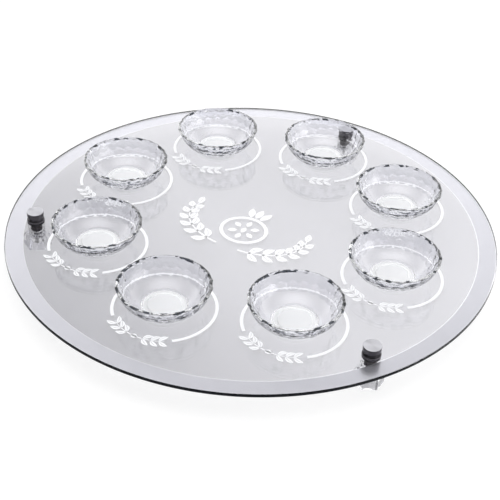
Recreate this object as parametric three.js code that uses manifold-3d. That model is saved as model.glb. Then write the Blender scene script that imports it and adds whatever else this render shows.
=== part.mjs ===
// Round glass serving plate on three crystal feet, with eight loose cut-crystal bowls.
// Units are millimetres and +Z is up. The origin is on the plate's axis, at the table.
// +Y points from the plate's centre to the bowl in front of the first stand-off.

import * as THREE from 'three';
import { mergeVertices } from 'three/addons/utils/BufferGeometryUtils.js';
import Module from 'manifold-3d';

const wasm = await Module();
wasm.setup();

// Plate
const plateRadius = 200;
const plateThickness = 3;
const plateArris = 0.5;
const plateSides = 72;

// Bowls
const bowlCount = 8;
const bowlInsetFromEdge = 73.3;
const bowlRimRadius = 36.5;
const bowlHeight = 21.7;
const bowlFootRadius = 17;
const bowlFootHeight = 1;
const bowlWallSlopeAtFoot = 18;
const bowlWallThickness = 3;
const bowlFloorThickness = 4;
const bowlFootRecessRadius = 13;
const bowlFootRecessDepth = 0.8;
const bowlRimArris = 0.5;
const bowlPlainWallSteps = 2;
const bowlCavitySteps = 4;
const bowlCavitySides = 28;

// Cut facets on the bowl's outer wall: two staggered rows of flat planes
const facetsPerRow = 22;
const upperFacetHeight = 17.2;
const upperFacetDepth = 0.8;
const lowerFacetHeight = 10.6;
const lowerFacetDepth = 0.45;
const uncutAllowance = 1;

// Stand-offs, evenly spaced on a circle whose centre lies off the plate's, to the front right
const standoffCount = 3;
const standoffFirstAngle = 90;
const standoffInsetFromEdge = 24.8;
const standoffShiftRight = 1.5;
const standoffShiftFront = 5.3;
const studRadius = 2.1;
const studEngagementInCap = 5.5;
const studEngagementInInsert = 9.2;
const seatGap = 0.3;
const roundSides = 18;
const boreSides = 16;

// Cap
const capLipRadius = 6.8;
const capLipHeight = 4;
const capWaistRadius = 5.4;
const capWaistHeight = 2.9;
const capFlangeRadius = 7.1;
const capFlangeHeight = 2;
const capArris = 0.4;

// Washer, flanged sleeve, collar and insert
const capWasherThickness = 1.2;
const capWasherInset = 0.15;
const sleeveWall = 1;
const sleeveFlangeThickness = 0.6;
const collarHeight = 5.2;
const collarShoulder = 0.9;
const insertWall = 1.2;
const insertFloor = 1;

// Crystal foot and its pad
const crystalSides = 6;
const crystalHeight = 15.2;
const crystalNeckWall = 1.7;
const crystalNeckHeight = 2;
const crystalGirdleRadius = 11.6;
const crystalGirdleHeight = 6;
const crystalBottomChamfer = 0.8;
const crystalFlareSteps = 4;
const padThickness = 1;
const padRadius = 6.5;

// Heights that follow from the stack under the plate
const crystalBottomZ = padThickness;
const crystalTopZ = crystalBottomZ + crystalHeight;
const collarTopZ = crystalTopZ + collarHeight;
const plateBottomZ = collarTopZ + sleeveFlangeThickness;
const plateTopZ = plateBottomZ + plateThickness;
const capBottomZ = plateTopZ + capWasherThickness;

// Radii that follow from the stud
const studBoreRadius = studRadius + seatGap;
const sleeveRadius = studBoreRadius + sleeveWall;
const plateHoleRadius = sleeveRadius + seatGap;
const collarRadius = plateHoleRadius + collarShoulder;
const insertRadius = studBoreRadius + insertWall;
const insertPocketRadius = insertRadius + seatGap;
const crystalNeckRadius = (insertPocketRadius + crystalNeckWall) / Math.cos(Math.PI / crystalSides);

const bowlCircleRadius = plateRadius - bowlInsetFromEdge;
const standoffCircleRadius = plateRadius - standoffInsetFromEdge;

const clearGlass = { color: 0xe9eef0, roughness: 0.05, metalness: 0 };
const cutCrystal = { color: 0xf2f5f6, roughness: 0.03, metalness: 0 };
const brushedMetal = { color: 0xb7b7bb, roughness: 0.35, metalness: 1 };
const turnedSteel = { color: 0x8e9094, roughness: 0.4, metalness: 1 };
const darkRubber = { color: 0x2b2a2c, roughness: 0.85, metalness: 0 };
const darkPlastic = { color: 0x343236, roughness: 0.6, metalness: 0 };
const clearSilicone = { color: 0xdfe3e4, roughness: 0.4, metalness: 0 };

const radians = (degrees) => THREE.MathUtils.degToRad(degrees);

// Turns an outline of [radius, height] points about the Z axis. The outline runs
// anticlockwise, from the axis to the axis or back to its own start.
function revolve(outline, sides) {
  const points = outline.map(([radius, height]) => new THREE.Vector2(radius, height));
  const geometry = new THREE.LatheGeometry(points, sides);
  geometry.rotateX(Math.PI / 2);
  return geometry;
}

// A ring of rectangular section round the stud, such as a washer or the collar.
function washerGeometry(outerRadius, bottomZ, topZ, sides) {
  const outline = [
    [studBoreRadius, bottomZ],
    [outerRadius, bottomZ],
    [outerRadius, topZ],
    [studBoreRadius, topZ],
    [studBoreRadius, bottomZ],
  ];
  return revolve(outline, sides);
}

// Outline of a plain round bar.
function barOutline(radius, bottomZ, topZ) {
  return [[0, bottomZ], [radius, bottomZ], [radius, topZ], [0, topZ]];
}

// Closed three.js geometry to a solid that can be joined and cut.
function toSolid(geometry) {
  const positions = geometry.clone();
  positions.deleteAttribute('normal');
  positions.deleteAttribute('uv');
  const merged = mergeVertices(positions, 1e-4);
  const corners = merged.index.array;
  const triangles = [];
  for (let i = 0; i < corners.length; i += 3) {
    const [a, b, c] = [corners[i], corners[i + 1], corners[i + 2]];
    if (a !== b && b !== c && c !== a) triangles.push(a, b, c);
  }
  const vertices = new Float32Array(merged.attributes.position.array);
  const mesh = new wasm.Mesh({
    numProp: 3,
    vertProperties: vertices,
    triVerts: new Uint32Array(triangles),
  });
  mesh.merge();
  return new wasm.Manifold(mesh);
}

function toGeometry(solid) {
  const { vertProperties, triVerts } = solid.getMesh();
  const geometry = new THREE.BufferGeometry();
  geometry.setAttribute('position', new THREE.BufferAttribute(new Float32Array(vertProperties), 3));
  geometry.setIndex(new THREE.BufferAttribute(new Uint32Array(triVerts), 1));
  geometry.computeVertexNormals();
  return geometry;
}

const object = new THREE.Group();

function addPiece(name, geometry, finish) {
  const material = new THREE.MeshStandardMaterial({ ...finish, flatShading: true });
  const mesh = new THREE.Mesh(geometry, material);
  mesh.name = name;
  object.add(mesh);
  return mesh;
}

function standoffPlace(index) {
  const angle = radians(standoffFirstAngle + (360 / standoffCount) * index);
  const x = standoffCircleRadius * Math.cos(angle) + standoffShiftRight;
  const y = standoffCircleRadius * Math.sin(angle) - standoffShiftFront;
  return { angle, x, y };
}

// Plate: a disc with small arrises at both edges and a drilled hole for each stand-off.
function plateGeometry() {
  const outline = [
    [0, plateBottomZ],
    [plateRadius - plateArris, plateBottomZ],
    [plateRadius, plateBottomZ + plateArris],
    [plateRadius, plateTopZ - plateArris],
    [plateRadius - plateArris, plateTopZ],
    [0, plateTopZ],
  ];
  let plate = toSolid(revolve(outline, plateSides));
  const drill = revolve(barOutline(plateHoleRadius, plateBottomZ - 1, plateTopZ + 1), boreSides);
  for (let i = 0; i < standoffCount; i += 1) {
    const { x, y } = standoffPlace(i);
    plate = plate.subtract(toSolid(drill.clone().translate(x, y, 0)));
  }
  return toGeometry(plate);
}

// The bowl's outer wall is one circular arc from the top of the foot to the rim. It leaves
// the foot at the given slope, and its centre lies on the normal there, as far from the rim.
function bowlWallArc() {
  const slope = radians(bowlWallSlopeAtFoot);
  const normalX = -Math.sin(slope);
  const normalZ = Math.cos(slope);
  const chordX = bowlRimRadius - bowlFootRadius;
  const chordZ = bowlHeight - bowlFootHeight;
  const radius = (chordX ** 2 + chordZ ** 2) / (2 * (chordX * normalX + chordZ * normalZ));
  return {
    radius,
    centreX: bowlFootRadius + normalX * radius,
    centreZ: bowlFootHeight + normalZ * radius,
  };
}

// Points of an arc about the wall's centre, between two heights, evenly spaced by angle.
function arcPoints(arc, radius, fromZ, toZ, steps) {
  const fromAngle = Math.asin((fromZ - arc.centreZ) / radius);
  const toAngle = Math.asin((toZ - arc.centreZ) / radius);
  const points = [];
  for (let i = 0; i <= steps; i += 1) {
    const angle = fromAngle + ((toAngle - fromAngle) * i) / steps;
    points.push([arc.centreX + radius * Math.cos(angle), arc.centreZ + radius * Math.sin(angle)]);
  }
  return points;
}

// A block whose near face is the facet's plane. The plane touches the wall arc at the given
// height and is then pressed into the wall by the depth of the cut.
function facetCutter(arc, height, depth, turn) {
  const tilt = Math.asin((height - arc.centreZ) / arc.radius);
  const size = 2 * bowlRimRadius;
  const block = new THREE.BoxGeometry(size, size, size);
  block.translate(arc.radius - depth + size / 2, 0, 0);
  block.rotateY(-tilt);
  block.translate(arc.centreX, 0, arc.centreZ);
  block.rotateZ(turn);
  return block;
}

// Bowl, standing at the origin. The blank is revolved: the plain wall below follows the arc,
// and from the lower row's height up it runs on along the arc's tangent, outside every
// facet, so that the cuts alone shape the upper wall. The hollow is revolved too.
function bowlGeometry() {
  const arc = bowlWallArc();
  const pitch = (2 * Math.PI) / facetsPerRow;
  const plainWall = arcPoints(arc, arc.radius, bowlFootHeight, lowerFacetHeight, bowlPlainWallSteps);
  const [tangentX, tangentZ] = plainWall[plainWall.length - 1];
  const blankRadius = bowlRimRadius + uncutAllowance;
  const tangentRise = (blankRadius - tangentX) * ((tangentX - arc.centreX) / (arc.centreZ - tangentZ));
  const blank = [
    [0, 0],
    [bowlFootRadius, 0],
    ...plainWall,
    [blankRadius, tangentZ + tangentRise],
    [blankRadius, bowlHeight],
    [0, bowlHeight],
  ];
  const cavityRadius = arc.radius - bowlWallThickness;
  const wall = arcPoints(arc, cavityRadius, bowlFloorThickness, bowlHeight - bowlRimArris, bowlCavitySteps);
  const [mouthRadius] = wall[wall.length - 1];
  const cavity = [
    [0, bowlFloorThickness],
    ...wall,
    [mouthRadius + 2 * bowlRimArris, bowlHeight + bowlRimArris],
    [0, bowlHeight + bowlRimArris],
  ];
  const recess = barOutline(bowlFootRecessRadius, -bowlFootRecessDepth, bowlFootRecessDepth);
  let bowl = toSolid(revolve(blank, 2 * facetsPerRow)).subtract(toSolid(revolve(recess, facetsPerRow)));
  for (let i = 0; i < facetsPerRow; i += 1) {
    const upper = facetCutter(arc, upperFacetHeight, upperFacetDepth, i * pitch);
    const lower = facetCutter(arc, lowerFacetHeight, lowerFacetDepth, (i + 0.5) * pitch);
    bowl = bowl.subtract(toSolid(upper)).subtract(toSolid(lower));
  }
  return toGeometry(bowl.subtract(toSolid(revolve(cavity, bowlCavitySides))));
}

// Cap: flange, waist groove and lip, with a blind bore for the stud from below.
function capGeometry() {
  const waistBottomZ = capBottomZ + capFlangeHeight;
  const waistTopZ = waistBottomZ + capWaistHeight;
  const topZ = waistTopZ + capLipHeight;
  const boreTopZ = capBottomZ + studEngagementInCap + seatGap;
  const outline = [
    [0, boreTopZ],
    [studBoreRadius, boreTopZ],
    [studBoreRadius, capBottomZ],
    [capFlangeRadius - capArris, capBottomZ],
    [capFlangeRadius, capBottomZ + capArris],
    [capFlangeRadius, waistBottomZ - capArris],
    [capFlangeRadius - capArris, waistBottomZ],
    [capWaistRadius, waistBottomZ],
    [capWaistRadius, waistTopZ],
    [capLipRadius, waistTopZ],
    [capLipRadius, topZ - capArris],
    [capLipRadius - capArris, topZ],
    [0, topZ],
  ];
  return revolve(outline, roundSides);
}

// Sleeve: a bush that lines the drilled hole, with a flange between glass and collar.
function sleeveGeometry() {
  const outline = [
    [studBoreRadius, collarTopZ],
    [collarRadius, collarTopZ],
    [collarRadius, plateBottomZ],
    [sleeveRadius, plateBottomZ],
    [sleeveRadius, plateTopZ],
    [studBoreRadius, plateTopZ],
    [studBoreRadius, collarTopZ],
  ];
  return revolve(outline, boreSides);
}

// Crystal foot: a hexagon that is narrow at the neck, swells to a girdle on a quarter
// of an ellipse, and has a chamfer at the bottom. The insert sits in a pocket from above.
function crystalGeometry() {
  const girdleTopZ = crystalBottomZ + crystalBottomChamfer + crystalGirdleHeight;
  const neckBottomZ = crystalTopZ - crystalNeckHeight;
  const flareHeight = neckBottomZ - girdleTopZ;
  const flareWidth = crystalGirdleRadius - crystalNeckRadius;
  const outline = [
    [0, crystalBottomZ],
    [crystalGirdleRadius - crystalBottomChamfer, crystalBottomZ],
    [crystalGirdleRadius, crystalBottomZ + crystalBottomChamfer],
  ];
  for (let i = 0; i <= crystalFlareSteps; i += 1) {
    const angle = (Math.PI / 2) * (i / crystalFlareSteps);
    const radius = crystalNeckRadius + flareWidth * Math.cos(angle);
    outline.push([radius, girdleTopZ + flareHeight * Math.sin(angle)]);
  }
  outline.push([crystalNeckRadius, crystalTopZ], [0, crystalTopZ]);
  const pocketFloorZ = crystalTopZ - studEngagementInInsert - seatGap - insertFloor;
  const pocket = barOutline(insertPocketRadius, pocketFloorZ, crystalTopZ + 1);
  const body = revolve(outline, crystalSides);
  // One corner of the hexagon points along +X, which becomes the plate's radius.
  body.rotateZ(Math.PI / 2);
  return toGeometry(toSolid(body).subtract(toSolid(revolve(pocket, boreSides))));
}

// Insert: a closed-bottomed bush, flush with the top of the crystal.
function insertGeometry() {
  const boreFloorZ = crystalTopZ - studEngagementInInsert - seatGap;
  const bottomZ = boreFloorZ - insertFloor;
  const outline = [
    [0, bottomZ],
    [insertRadius, bottomZ],
    [insertRadius, crystalTopZ],
    [studBoreRadius, crystalTopZ],
    [studBoreRadius, boreFloorZ],
    [0, boreFloorZ],
  ];
  return revolve(outline, boreSides);
}

addPiece('glass_plate', plateGeometry(), clearGlass);

const bowlShape = bowlGeometry();
for (let i = 0; i < bowlCount; i += 1) {
  const angle = radians(90 - (360 / bowlCount) * i);
  const bowl = addPiece(`bowl_${i + 1}`, bowlShape.clone(), cutCrystal);
  bowl.position.set(bowlCircleRadius * Math.cos(angle), bowlCircleRadius * Math.sin(angle), plateTopZ);
}

const studTopZ = capBottomZ + studEngagementInCap;
const studBottomZ = crystalTopZ - studEngagementInInsert;
const capWasherRadius = capFlangeRadius - capWasherInset;

const standoffShapes = [
  ['cap', capGeometry(), brushedMetal],
  ['cap_washer', washerGeometry(capWasherRadius, plateTopZ, capBottomZ, roundSides), darkRubber],
  ['stud', revolve(barOutline(studRadius, studBottomZ, studTopZ), boreSides), turnedSteel],
  ['sleeve', sleeveGeometry(), darkPlastic],
  ['collar', washerGeometry(collarRadius, crystalTopZ, collarTopZ, roundSides), turnedSteel],
  ['insert', insertGeometry(), turnedSteel],
  ['crystal_foot', crystalGeometry(), cutCrystal],
  ['pad', revolve(barOutline(padRadius, 0, padThickness), roundSides), clearSilicone],
];

for (let i = 0; i < standoffCount; i += 1) {
  const { angle, x, y } = standoffPlace(i);
  for (const [part, shape, finish] of standoffShapes) {
    const mesh = addPiece(`standoff_${i + 1}_${part}`, shape.clone(), finish);
    mesh.position.set(x, y, 0);
    mesh.rotation.z = angle;
  }
}

export default object;
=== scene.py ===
# %% [markdown]
# # A holiday serving plate of glass with eight crystal bowls
#
# The object is a round glass plate, 400 mm across, on three cut crystal feet. Eight loose
# crystal bowls stand on it. A silver print covers the plate's underside, and white rings and
# plant ornaments are printed on top.
#
# The solid model gives every size and place. This lesson keeps those and adds what a solid
# model leaves out: smooth curves, softened edges, threads, the print and the light.

# %% The frame: load the solid model and keep its box
import math

import bmesh
import bpy
import numpy as np
from mathutils import Matrix, Vector


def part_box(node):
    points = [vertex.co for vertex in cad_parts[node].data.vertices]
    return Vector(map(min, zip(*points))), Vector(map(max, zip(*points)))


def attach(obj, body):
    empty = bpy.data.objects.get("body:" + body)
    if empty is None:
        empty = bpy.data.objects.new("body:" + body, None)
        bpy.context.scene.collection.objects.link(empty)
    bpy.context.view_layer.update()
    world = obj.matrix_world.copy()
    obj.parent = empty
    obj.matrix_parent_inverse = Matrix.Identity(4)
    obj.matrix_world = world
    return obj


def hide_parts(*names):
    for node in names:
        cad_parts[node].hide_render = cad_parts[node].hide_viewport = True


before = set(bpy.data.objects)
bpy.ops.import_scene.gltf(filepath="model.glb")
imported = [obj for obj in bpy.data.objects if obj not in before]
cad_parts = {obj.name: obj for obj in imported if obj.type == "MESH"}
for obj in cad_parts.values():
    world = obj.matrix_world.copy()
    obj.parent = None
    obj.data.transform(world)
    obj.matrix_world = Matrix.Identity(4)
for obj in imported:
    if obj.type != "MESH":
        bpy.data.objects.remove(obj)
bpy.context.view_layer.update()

# %% [markdown]
# ## Sizes
#
# All shapes below are worked out in millimetres and become metres when they are put into a
# mesh. The solids give the heights of the stack, so they are read from their boxes. The few
# other numbers are this object's own measures.

# %% Heights and places that the solids give
MM = 0.001


def span(node, axis):
    """Lowest and highest coordinate of a solid along one axis, in millimetres."""
    low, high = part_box(node)
    return low[axis] / MM, high[axis] / MM


plate_bottom, plate_top = span("glass_plate", 2)
plate_radius = span("glass_plate", 0)[1]
bowl_height = span("bowl_1", 2)[1] - plate_top
bowl_ring_radius = sum(span("bowl_1", 1)) / 2
cap_bottom, cap_top = span("standoff_1_cap", 2)
stud_bottom, stud_top = span("standoff_1_stud", 2)
insert_bottom, insert_top = span("standoff_1_insert", 2)
collar_bottom, collar_top = span("standoff_1_collar", 2)
crystal_bottom, crystal_top = span("standoff_1_crystal_foot", 2)

bowl_angles = np.radians(90 - 45 * np.arange(8))
bowl_centres = bowl_ring_radius * np.stack([np.cos(bowl_angles), np.sin(bowl_angles)], axis=-1)
standoff_angles = np.radians([90, 210, 330])
standoff_centres = np.array(
    [[sum(span(f"standoff_{number}_cap", axis)) / 2 for axis in (0, 1)] for number in (1, 2, 3)]
)
print(f"plate {plate_radius:.1f} mm radius, z {plate_bottom:.1f} to {plate_top:.1f} mm")
print(f"bowls {bowl_height:.2f} mm high on a circle of {bowl_ring_radius:.1f} mm radius")

# %% [markdown]
# ## Meshes from grids
#
# Nearly every piece here is turned, so it is one outline carried round an axis. In numpy
# that is a grid: one row for each outline point, one column for each step round. A few
# helpers make such grids, their faces and the finished object.

# %% Faces of a grid that closes on itself
def ring_quads(rows, columns):
    """Quads of a closed band. Each joins two neighbours of a row with those of the next row.
    With rows that run up and columns that run anticlockwise, they face outwards."""
    row = np.arange(rows - 1)[:, None] * columns
    column = np.arange(columns)[None, :]
    after = (column + 1) % columns
    corners = [row + column, row + after, row + columns + after, row + columns + column]
    return np.stack(corners, axis=-1).reshape(-1, 4)


def fan(pole, first, columns, upwards):
    """Triangles from one pole point to a row of points that starts at index first."""
    column = first + np.arange(columns)
    after = first + (np.arange(columns) + 1) % columns
    order = [column, after] if upwards else [after, column]
    return np.stack([np.full(columns, pole), *order], axis=-1)


print("a band of 3 rows and 8 columns has", len(ring_quads(3, 8)), "quads")

# %% A finished piece from points and faces
ON_AXIS = 1e-9  # a radius below this counts as a point on the axis
CRISP = math.radians(30)  # where faces turn by more than this, their edge is drawn crisp


def add_piece(name, points, faces, materials, body, nodes, slot=None):
    """Puts points, in mm, and faces into a mesh, and tells the frame what the piece is: the body
    it rides on and the solids it stands for. slot, the finish it takes, is not used."""
    mesh = bpy.data.meshes.new(name)
    mesh.from_pydata((np.asarray(points) * MM).tolist(), [], faces)
    mesh.shade_smooth()
    for material in materials:
        mesh.materials.append(material)
    piece = bpy.data.objects.new(name, mesh)
    bpy.context.scene.collection.objects.link(piece)
    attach(piece, body)
    if nodes:
        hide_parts(*nodes)
    return piece


def lathe(outline, columns, centre, spin=0.0, loop=False):
    """Points and faces of an outline of (radius, height) turned about an upright axis.
    x = centre x + radius * cos(angle), y = centre y + radius * sin(angle). Where the outline
    begins or ends on the axis, that end is one pole point. A loop joins its end to its start."""
    outline = np.asarray(outline, float)
    starts_at_pole = outline[0, 0] < ON_AXIS
    ends_at_pole = outline[-1, 0] < ON_AXIS
    rings = outline[int(starts_at_pole):len(outline) - int(ends_at_pole)]
    if loop:
        rings = np.vstack([rings, rings[:1]])
    angle = spin + 2 * math.pi * np.arange(columns) / columns
    x = centre[0] + rings[:, :1] * np.cos(angle)
    y = centre[1] + rings[:, :1] * np.sin(angle)
    z = np.broadcast_to(rings[:, 1:], x.shape)
    points = np.stack([x, y, z], axis=-1).reshape(-1, 3)
    faces = ring_quads(len(rings), columns)
    if loop:
        points = points[:-columns]
        faces = faces % len(points)
    faces = faces.tolist()
    if starts_at_pole:
        faces += fan(len(points), 0, columns, upwards=False).tolist()
        points = np.vstack([points, [centre[0], centre[1], outline[0, 1]]])
    if ends_at_pole:
        last = (len(rings) - 1) * columns
        faces += fan(len(points), last, columns, upwards=True).tolist()
        points = np.vstack([points, [centre[0], centre[1], outline[-1, 1]]])
    return points, faces


print("a cone of 8 columns has", len(lathe([[0, 0], [1, 0], [0, 1]], 8, (0, 0))[1]), "faces")

# %% [markdown]
# A real edge is never perfectly sharp: even a crisp one is broken by a tenth of a
# millimetre, and that thin strip is what catches the light. So each outline gets its corners
# softened. A short straight stretch is held on each side of the corner, so that the broad
# faces stay flat to the eye under smooth shading.

# %% Outlines with softened corners
def soften(corners, reach, loop=False, steps=4, hold=0.12):
    """Replaces each corner P by a parabola that leaves one side at the distance reach before
    P and joins the other at the same distance after it: (1-t)^2 A + 2t(1-t) P + t^2 B. On a
    short side, reach and hold shrink to the shares most_reach and most_held of it."""
    most_reach, most_held = 0.4, 0.48
    corners = np.asarray(corners, float)
    middle = corners if loop else corners[1:-1]
    before = np.roll(corners, 1, axis=0) if loop else corners[:-2]
    after = np.roll(corners, -1, axis=0) if loop else corners[2:]
    back = before - middle
    ahead = after - middle
    back_length = np.linalg.norm(back, axis=1, keepdims=True)
    ahead_length = np.linalg.norm(ahead, axis=1, keepdims=True)
    reach = np.broadcast_to(np.asarray(reach, float).reshape(-1, 1), back_length.shape)
    shorter = np.minimum(back_length, ahead_length)
    reach = np.minimum(reach, most_reach * shorter)
    held = np.minimum(reach + hold, most_held * shorter)
    start = (middle + back / back_length * reach)[:, None, :]
    end = (middle + ahead / ahead_length * reach)[:, None, :]
    t = np.linspace(0, 1, steps + 1)[None, :, None]
    curve = (1 - t) ** 2 * start + 2 * t * (1 - t) * middle[:, None, :] + t**2 * end
    first = (middle + back / back_length * held)[:, None, :]
    last = (middle + ahead / ahead_length * held)[:, None, :]
    points = np.concatenate([first, curve, last], axis=1).reshape(-1, 2)
    return points if loop else np.vstack([corners[:1], points, corners[-1:]])


washer_section = soften([[1, 0], [2, 0], [2, 1], [1, 1]], 0.1, loop=True)
print("a square washer section softens to", len(washer_section), "points")

# %% [markdown]
# ## Materials
#
# A material is a small tree of nodes. One helper adds any node with its settings, its plain
# values and its links. Colours are written as sRGB hex, the way a paint or screen colour is
# given, and turned to the linear values that the renderer counts in.

# %% Colour and node helpers
def linear(colour):
    """sRGB hex such as "#B9BABD" to linear red, green, blue and alpha."""
    parts = np.array([int(colour[i:i + 2], 16) for i in (1, 3, 5)]) / 255
    parts = np.where(parts <= 0.04045, parts / 12.92, ((parts + 0.055) / 1.055) ** 2.4)
    return (*parts.tolist(), 1.0)


def add_node(tree, kind, settings=None, values=None, links=None):
    """Adds a node: settings are its own properties, values go on its plain sockets, and
    links feed its sockets from other nodes' outputs."""
    node = tree.nodes.new(kind)
    for name, value in (settings or {}).items():
        setattr(node, name, value)
    for socket, value in (values or {}).items():
        node.inputs[socket].default_value = value
    for socket, output in (links or {}).items():
        tree.links.new(output, node.inputs[socket])
    return node


def new_material(name):
    """A material with an empty node tree, and object coordinates ready in it."""
    material = bpy.data.materials.new(name)
    material.use_nodes = True
    material.node_tree.nodes.clear()
    place = add_node(material.node_tree, "ShaderNodeTexCoord")
    return material, material.node_tree, place.outputs["Object"]


def set_surface(tree, shader):
    """Makes a shader the material's surface."""
    add_node(tree, "ShaderNodeOutputMaterial", links={"Surface": shader.outputs[0]})


def uneven(tree, place, size_mm, height_mm, detail, strength=1.0):
    """A surface that swells and sinks: a noise with lumps of the given size and height.
    Gives the noise itself, and the normal that follows it."""
    noise = add_node(
        tree, "ShaderNodeTexNoise", values={"Scale": 1 / (size_mm * MM), "Detail": detail},
        links={"Vector": place},
    )
    bump = add_node(
        tree, "ShaderNodeBump", values={"Strength": strength, "Distance": height_mm * MM},
        links={"Height": noise.outputs[0]},
    )
    return noise.outputs[0], bump.outputs[0]


print("mid grey is", [round(c, 3) for c in linear("#808080")[:3]])

# %% [markdown]
# **Glass and light.** Light that bends through glass on its way to what lies under it is
# slow to compute and comes out speckled. The usual cure is a mix: what the eye looks at is
# real, refracting glass, while rays on their way to a light, or scattered from a matt
# surface, pass straight through and lose only a little light.
#
# Thick crystal needs one more cure. Some rays are thrown to and fro inside it more often
# than the renderer follows them, and they come out black, in smooth dark bands. Real crystal
# shows such bands broken up into black and white sparks. So in patches a caught ray may
# leave straight through the surface.

# %% Glass that lets light through to what is under it
def let_light_through(tree, glass, tint, leak=None):
    """Mixes a glass shader with a see-through one that only light rays meet. With leak, a
    share from 0 to 1 that may vary over the surface, rays that have been thrown to and fro
    inside three times get out there too."""
    over_two_throws = 2.5
    path = add_node(tree, "ShaderNodeLightPath")
    light_ray = add_node(
        tree, "ShaderNodeMath", {"operation": "MAXIMUM"},
        links={0: path.outputs["Is Shadow Ray"], 1: path.outputs["Is Diffuse Ray"]},
    )
    if leak is not None:
        caught = add_node(
            tree, "ShaderNodeMath", {"operation": "GREATER_THAN"}, {1: over_two_throws},
            {0: path.outputs["Glossy Depth"]},
        )
        freed = add_node(
            tree, "ShaderNodeMath", {"operation": "MULTIPLY"}, links={0: caught.outputs[0], 1: leak}
        )
        light_ray = add_node(
            tree, "ShaderNodeMath", {"operation": "MAXIMUM"},
            links={0: light_ray.outputs[0], 1: freed.outputs[0]},
        )
    through = add_node(tree, "ShaderNodeBsdfTransparent", values={"Color": linear(tint)})
    return add_node(
        tree, "ShaderNodeMixShader",
        links={0: light_ray.outputs[0], 1: glass.outputs[0], 2: through.outputs[0]},
    )


# %% [markdown]
# ** Float glass** for the plate. It is flat and polished, so it has no roughness to see. Its
# body holds a little iron, which tints the polished edge a deep blue. The edge's colour is
# also painted nearly black: painted shade for the dark room that the eye sees along the sheet.
# There it gets a lower index, so that the white floor's mirror image doesn't hide that.

# %% Float glass
GLASS_INDEX = 1.52  # of float glass and of crystal
FLOAT_PASSES = "#FBFBFC"  # what is left of light that goes straight through one face


def float_glass(name, tint, transmission, index):
    """Polished glass of one tint, with a swell of 60 mm. transmission is the share of it that
    is clear; the rest shows the tint as a solid colour, which on the edge is the iron's blue
    darkened nearly to black as painted shade. The index sets how much light bends and is mirrored."""
    material, tree, place = new_material(name)
    _, normal = uneven(tree, place, 60, 0.01, detail=0.0)
    glass = add_node(
        tree, "ShaderNodeBsdfPrincipled",
        values={
            "Base Color": linear(tint), "Transmission Weight": transmission,
            "Roughness": 0.0, "IOR": index,
        },
        links={"Normal": normal},
    )
    set_surface(tree, let_light_through(tree, glass, FLOAT_PASSES))
    return material


plate_glass = float_glass(
    "float_glass_clear", "#FBFBFE", transmission=1.0, index=GLASS_INDEX
)
# The edge glass: deep blue from the iron, painted nearly black as painted shade.
edge_glass_painted_dark = float_glass(
    "float_glass_edge_painted_dark", "#040914", transmission=0.05, index=1.2
)
print("made", plate_glass.name, edge_glass_painted_dark.name)

# %% [markdown]
# ** Crystal** for the bowls and feet: an index of 1.52, and quite colourless. Each zone of a
# bowl has its own. The inside and the plain wall are fire-polished, so they are smooth and
# hardly rippled. The facets keep a ripple of 2.4 mm from the mould, which makes them sparkle.
# Their rows are tinted a little grey, the upper row more so. That is painted shade, and it
# shows the rows apart on the far wall. Seen from outside, the near wall's facets carry painted
# dark streaks, painted reflections of dark bits of the room, and the rim carries them from both
# sides. The foot is ground on a wheel, which leaves it white and satin.

# %% Crystal and ground crystal
CRYSTAL_PASSES = "#F6F7F8"  # a little less than float glass, as crystal is thicker


def crystal(name, tint, ripple_mm, ripple_height_mm, clear_above, painted_sparks=None):
    """Crystal with a soft ripple of the given wavelength and height. Light caught inside gets
    out where a noise of 4.5 mm is above clear_above. Painted sparks are dark reflections painted
    into the colour: a dark tone, the number that their noise has to stay below, and whether they
    only show from outside. They are streaks, 5 mm long and 2 mm high."""
    material, tree, place = new_material(name)
    _, normal = uneven(tree, place, ripple_mm, ripple_height_mm, detail=1.0)
    gaps = add_node(
        tree, "ShaderNodeTexNoise", values={"Scale": 1 / (4.5 * MM), "Detail": 2.0},
        links={"Vector": place},
    )
    leak = add_node(
        tree, "ShaderNodeMapRange",
        values={"From Min": clear_above, "From Max": clear_above + 0.02},
        links={"Value": gaps.outputs[0]},
    )
    links = {"Normal": normal}
    # Painted reflections: where a streaky noise stays below the number, the crystal's colour is
    # painted dark, with outside_only on the outer side alone.
    if painted_sparks:
        dark, dark_below, outside_only = painted_sparks
        painted_streaks = add_node(
            tree, "ShaderNodeMapping", values={"Scale": (1.0, 1.0, 2.5)}, links={"Vector": place}
        )
        patches = add_node(
            tree, "ShaderNodeTexNoise", values={"Scale": 1 / (5.0 * MM), "Detail": 1.0},
            links={"Vector": painted_streaks.outputs[0]},
        )
        clear = add_node(
            tree, "ShaderNodeMapRange",
            values={"From Min": dark_below - 0.02, "From Max": dark_below + 0.01},
            links={"Value": patches.outputs[0]},
        )
        if outside_only:
            side = add_node(tree, "ShaderNodeNewGeometry")
            clear = add_node(
                tree, "ShaderNodeMath", {"operation": "MAXIMUM"},
                links={0: clear.outputs[0], 1: side.outputs["Backfacing"]},
            )
        links["Base Color"] = add_node(
            tree, "ShaderNodeMix", {"data_type": "RGBA"},
            {6: linear(dark), 7: linear(tint)}, {0: clear.outputs[0]},
        ).outputs[2]
    glass = add_node(
        tree, "ShaderNodeBsdfPrincipled",
        values={
            "Base Color": linear(tint), "Transmission Weight": 1.0,
            "Roughness": 0.0, "IOR": GLASS_INDEX,
        },
        links=links,
    )
    set_surface(tree, let_light_through(tree, glass, CRYSTAL_PASSES, leak.outputs[0]))
    return material


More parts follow.
